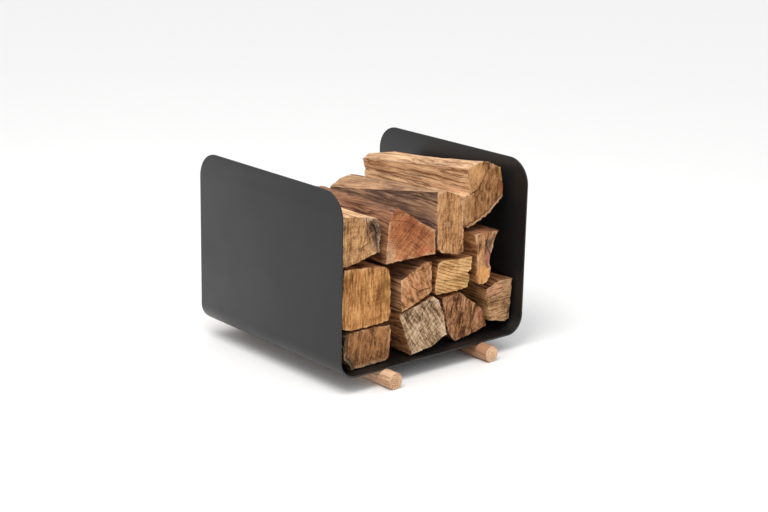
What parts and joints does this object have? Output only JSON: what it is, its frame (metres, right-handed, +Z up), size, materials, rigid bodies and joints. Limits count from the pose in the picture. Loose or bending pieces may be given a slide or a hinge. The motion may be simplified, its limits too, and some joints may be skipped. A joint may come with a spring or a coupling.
{
  "type": "firewood log rack",
  "caption": "Open-topped U-shaped firewood rack of bent black steel sheet on round wooden foot bars, holding a stack of separate split logs.",
  "frame": {"origin": "on the floor, under the middle of the rack", "axes": "+X to the rack's right seen from the front, -Y out of the open front that the logs are pulled from, +Z up"},
  "size_m": [0.4, 0.43, 0.328],
  "materials": {
    "black_steel": "fine matt black powder coat",
    "beech": "turned pale beech, lightly oiled",
    "screw_steel": "zinc-plated countersunk wood screws",
    "split_golden": "split hardwood, golden tan, fibrous sides and sawn ends",
    "split_brown": "split hardwood, warm brown, fibrous sides and sawn ends",
    "split_grey": "split hardwood, weathered grey-beige, saw marks on the ends",
    "split_straw": "split hardwood, pale straw yellow, fine saw lines on the ends",
    "split_red": "split hardwood, reddish orange, growth rings on the ends",
    "split_tan": "split hardwood, pinkish tan, fibrous sides and sawn ends"
  },
  "bodies": {
    "rack": {"rack_sheet": "black_steel", "left_foot_bar": "beech", "right_foot_bar": "beech", "foot_screws": "screw_steel"},
    "bottom_left_log": {"bottom_left_log": "split_brown"},
    "bottom_grey_log": {"bottom_grey_log": "split_grey"},
    "bottom_brown_log": {"bottom_brown_log": "split_brown"},
    "bottom_right_log": {"bottom_right_log": "split_straw"},
    "middle_left_log": {"middle_left_log": "split_golden"},
    "middle_tan_log": {"middle_tan_log": "split_tan"},
    "middle_straw_log": {"middle_straw_log": "split_straw"},
    "middle_forked_log": {"middle_forked_log": "split_tan"},
    "top_left_log": {"top_left_log": "split_golden"},
    "top_red_log": {"top_red_log": "split_red"},
    "top_tall_log": {"top_tall_log": "split_golden"},
    "top_right_log": {"top_right_log": "split_golden"}
  },
  "joints": [
    {"name": "bottom_left_log_pull", "type": "slide", "parent": "rack", "child": "bottom_left_log", "axis": [0, -1, 0], "range_m": [0, 0.15]},
    {"name": "bottom_grey_log_pull", "type": "slide", "parent": "rack", "child": "bottom_grey_log", "axis": [0, -1, 0], "range_m": [0, 0.15]},
    {"name": "bottom_brown_log_pull", "type": "slide", "parent": "rack", "child": "bottom_brown_log", "axis": [0, -1, 0], "range_m": [0, 0.15]},
    {"name": "bottom_right_log_pull", "type": "slide", "parent": "rack", "child": "bottom_right_log", "axis": [0, -1, 0], "range_m": [0, 0.15]},
    {"name": "middle_left_log_pull", "type": "slide", "parent": "rack", "child": "middle_left_log", "axis": [0, -1, 0], "range_m": [0, 0.15]},
    {"name": "middle_tan_log_pull", "type": "slide", "parent": "rack", "child": "middle_tan_log", "axis": [0, -1, 0], "range_m": [0, 0.15]},
    {"name": "middle_straw_log_pull", "type": "slide", "parent": "rack", "child": "middle_straw_log", "axis": [0, -1, 0], "range_m": [0, 0.15]},
    {"name": "middle_forked_log_pull", "type": "slide", "parent": "rack", "child": "middle_forked_log", "axis": [0, -1, 0], "range_m": [0, 0.15]},
    {"name": "top_left_log_lift", "type": "slide", "parent": "rack", "child": "top_left_log", "axis": [0, 0, 1], "range_m": [0, 0.16]},
    {"name": "top_red_log_lift", "type": "slide", "parent": "rack", "child": "top_red_log", "axis": [0, 0, 1], "range_m": [0, 0.16]},
    {"name": "top_tall_log_lift", "type": "slide", "parent": "rack", "child": "top_tall_log", "axis": [0, 0, 1], "range_m": [0, 0.16]},
    {"name": "top_right_log_lift", "type": "slide", "parent": "rack", "child": "top_right_log", "axis": [0, 0, 1], "range_m": [0, 0.16]}
  ]
}
